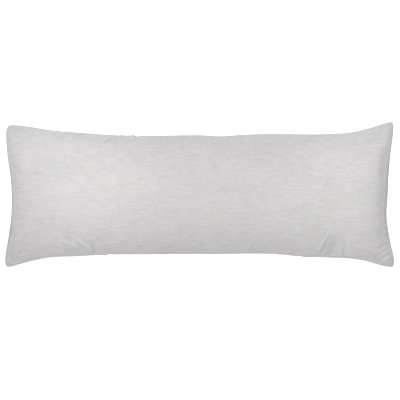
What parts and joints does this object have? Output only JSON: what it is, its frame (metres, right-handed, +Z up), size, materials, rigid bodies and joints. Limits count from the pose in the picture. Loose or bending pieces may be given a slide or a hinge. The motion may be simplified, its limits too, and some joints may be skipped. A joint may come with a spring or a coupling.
{
  "type": "body pillow",
  "caption": "Long filled body pillow in a plain light grey slubbed cover with knife-edge seams, lying on its back.",
  "frame": {"origin": "on the surface that the pillow lies on, under the middle of its box", "axes": "+X along the pillow, +Y across it, +Z up out of its front"},
  "size_m": [1.3606, 0.5096, 0.1965],
  "materials": {
    "cover": "matte slubbed plain weave"
  },
  "bodies": {
    "root": {"pillow": "cover"}
  },
  "joints": []
}
